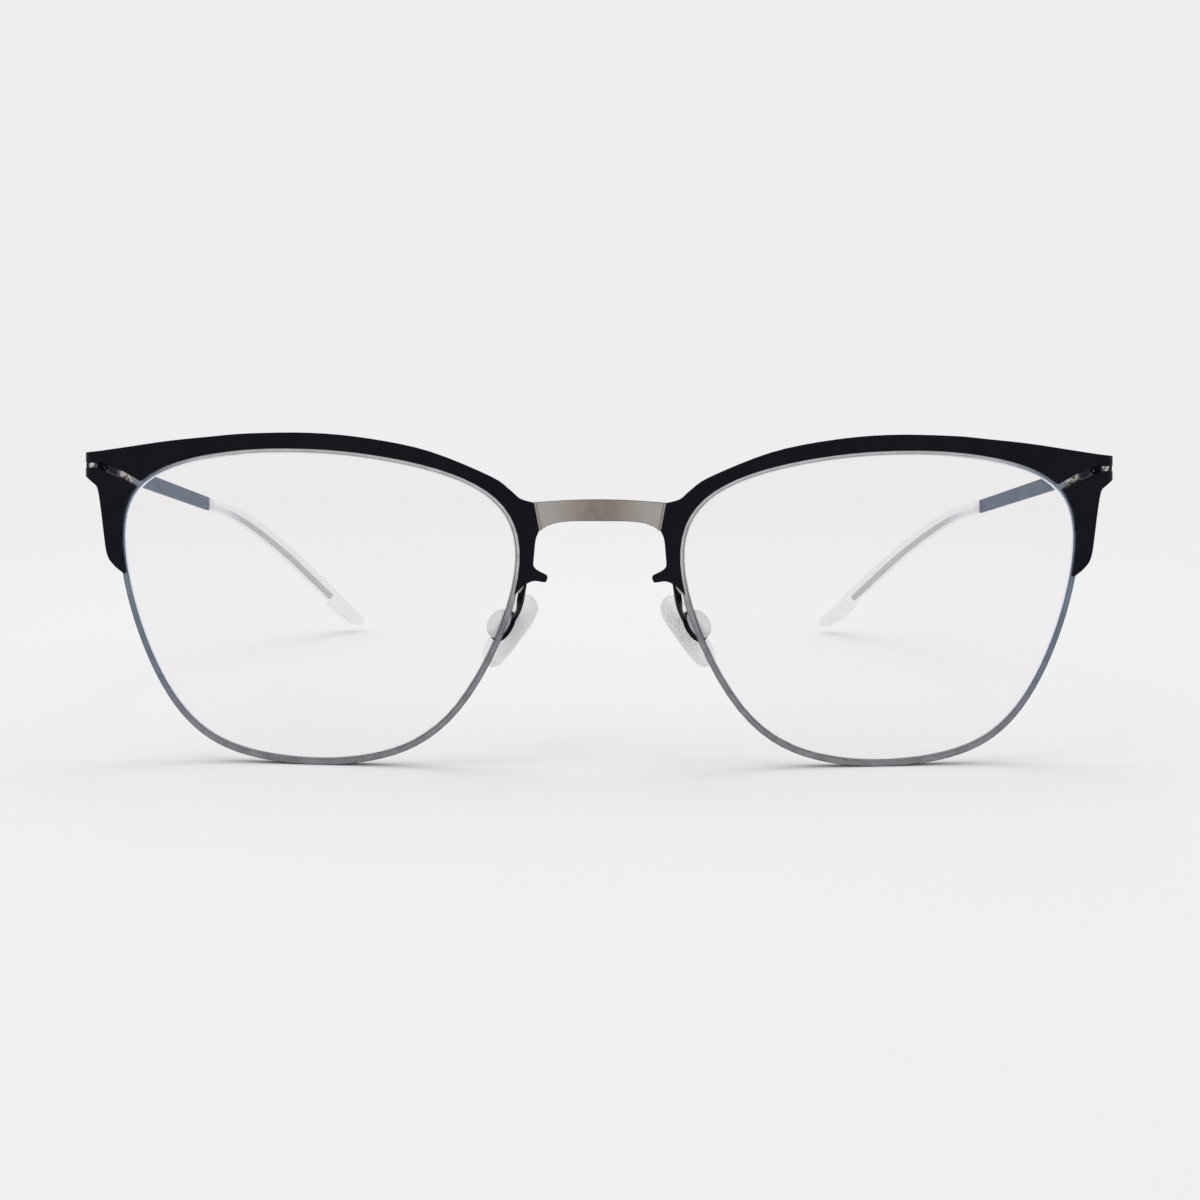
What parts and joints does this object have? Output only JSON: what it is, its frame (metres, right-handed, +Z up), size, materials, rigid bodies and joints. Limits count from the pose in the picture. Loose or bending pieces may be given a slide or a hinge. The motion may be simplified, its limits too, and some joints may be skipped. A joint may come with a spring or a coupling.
{
  "type": "browline glasses",
  "caption": "Slim browline glasses in sheet steel with thin rimmed lenses, clear nose pads and folding temples with clear bent tips.",
  "frame": {"origin": "middle of the glasses' box, on the floor that the rims and the temple tips stand on, temples open", "axes": "+Z up; the front faces -Y and the temples run back along +Y; +X is the wearer's left"},
  "size_m": [0.1318, 0.1364, 0.0417],
  "materials": {
    "black_sheet": "satin",
    "black_strip": "satin",
    "bridge_steel": "brushed",
    "rim_steel": "satin",
    "lens": "gloss",
    "pad_silicone": "satin",
    "clear_tip": "gloss"
  },
  "bodies": {
    "front": {"bridge": "bridge_steel", "brow_left": "black_sheet", "brow_right": "black_sheet", "cheek_left": "black_sheet", "cheek_right": "black_sheet", "rim_left": "rim_steel", "rim_right": "rim_steel", "lens_left": "lens", "lens_right": "lens", "pad_arm_left": "black_sheet", "pad_arm_right": "black_sheet", "nose_pad_left": "pad_silicone", "nose_pad_right": "pad_silicone"},
    "left_temple": {"temple_left": "black_strip", "temple_tip_left": "clear_tip"},
    "right_temple": {"temple_right": "black_strip", "temple_tip_right": "clear_tip"}
  },
  "joints": [
    {"name": "left_temple_fold", "type": "hinge", "parent": "front", "child": "left_temple", "pos_m": [0.06445, -0.06015, 0.03735], "axis": [0, 0, 1], "range_deg": [0, 76]},
    {"name": "right_temple_fold", "type": "hinge", "parent": "front", "child": "right_temple", "pos_m": [-0.06445, -0.06015, 0.03735], "axis": [0, 0, -1], "range_deg": [0, 70]}
  ]
}
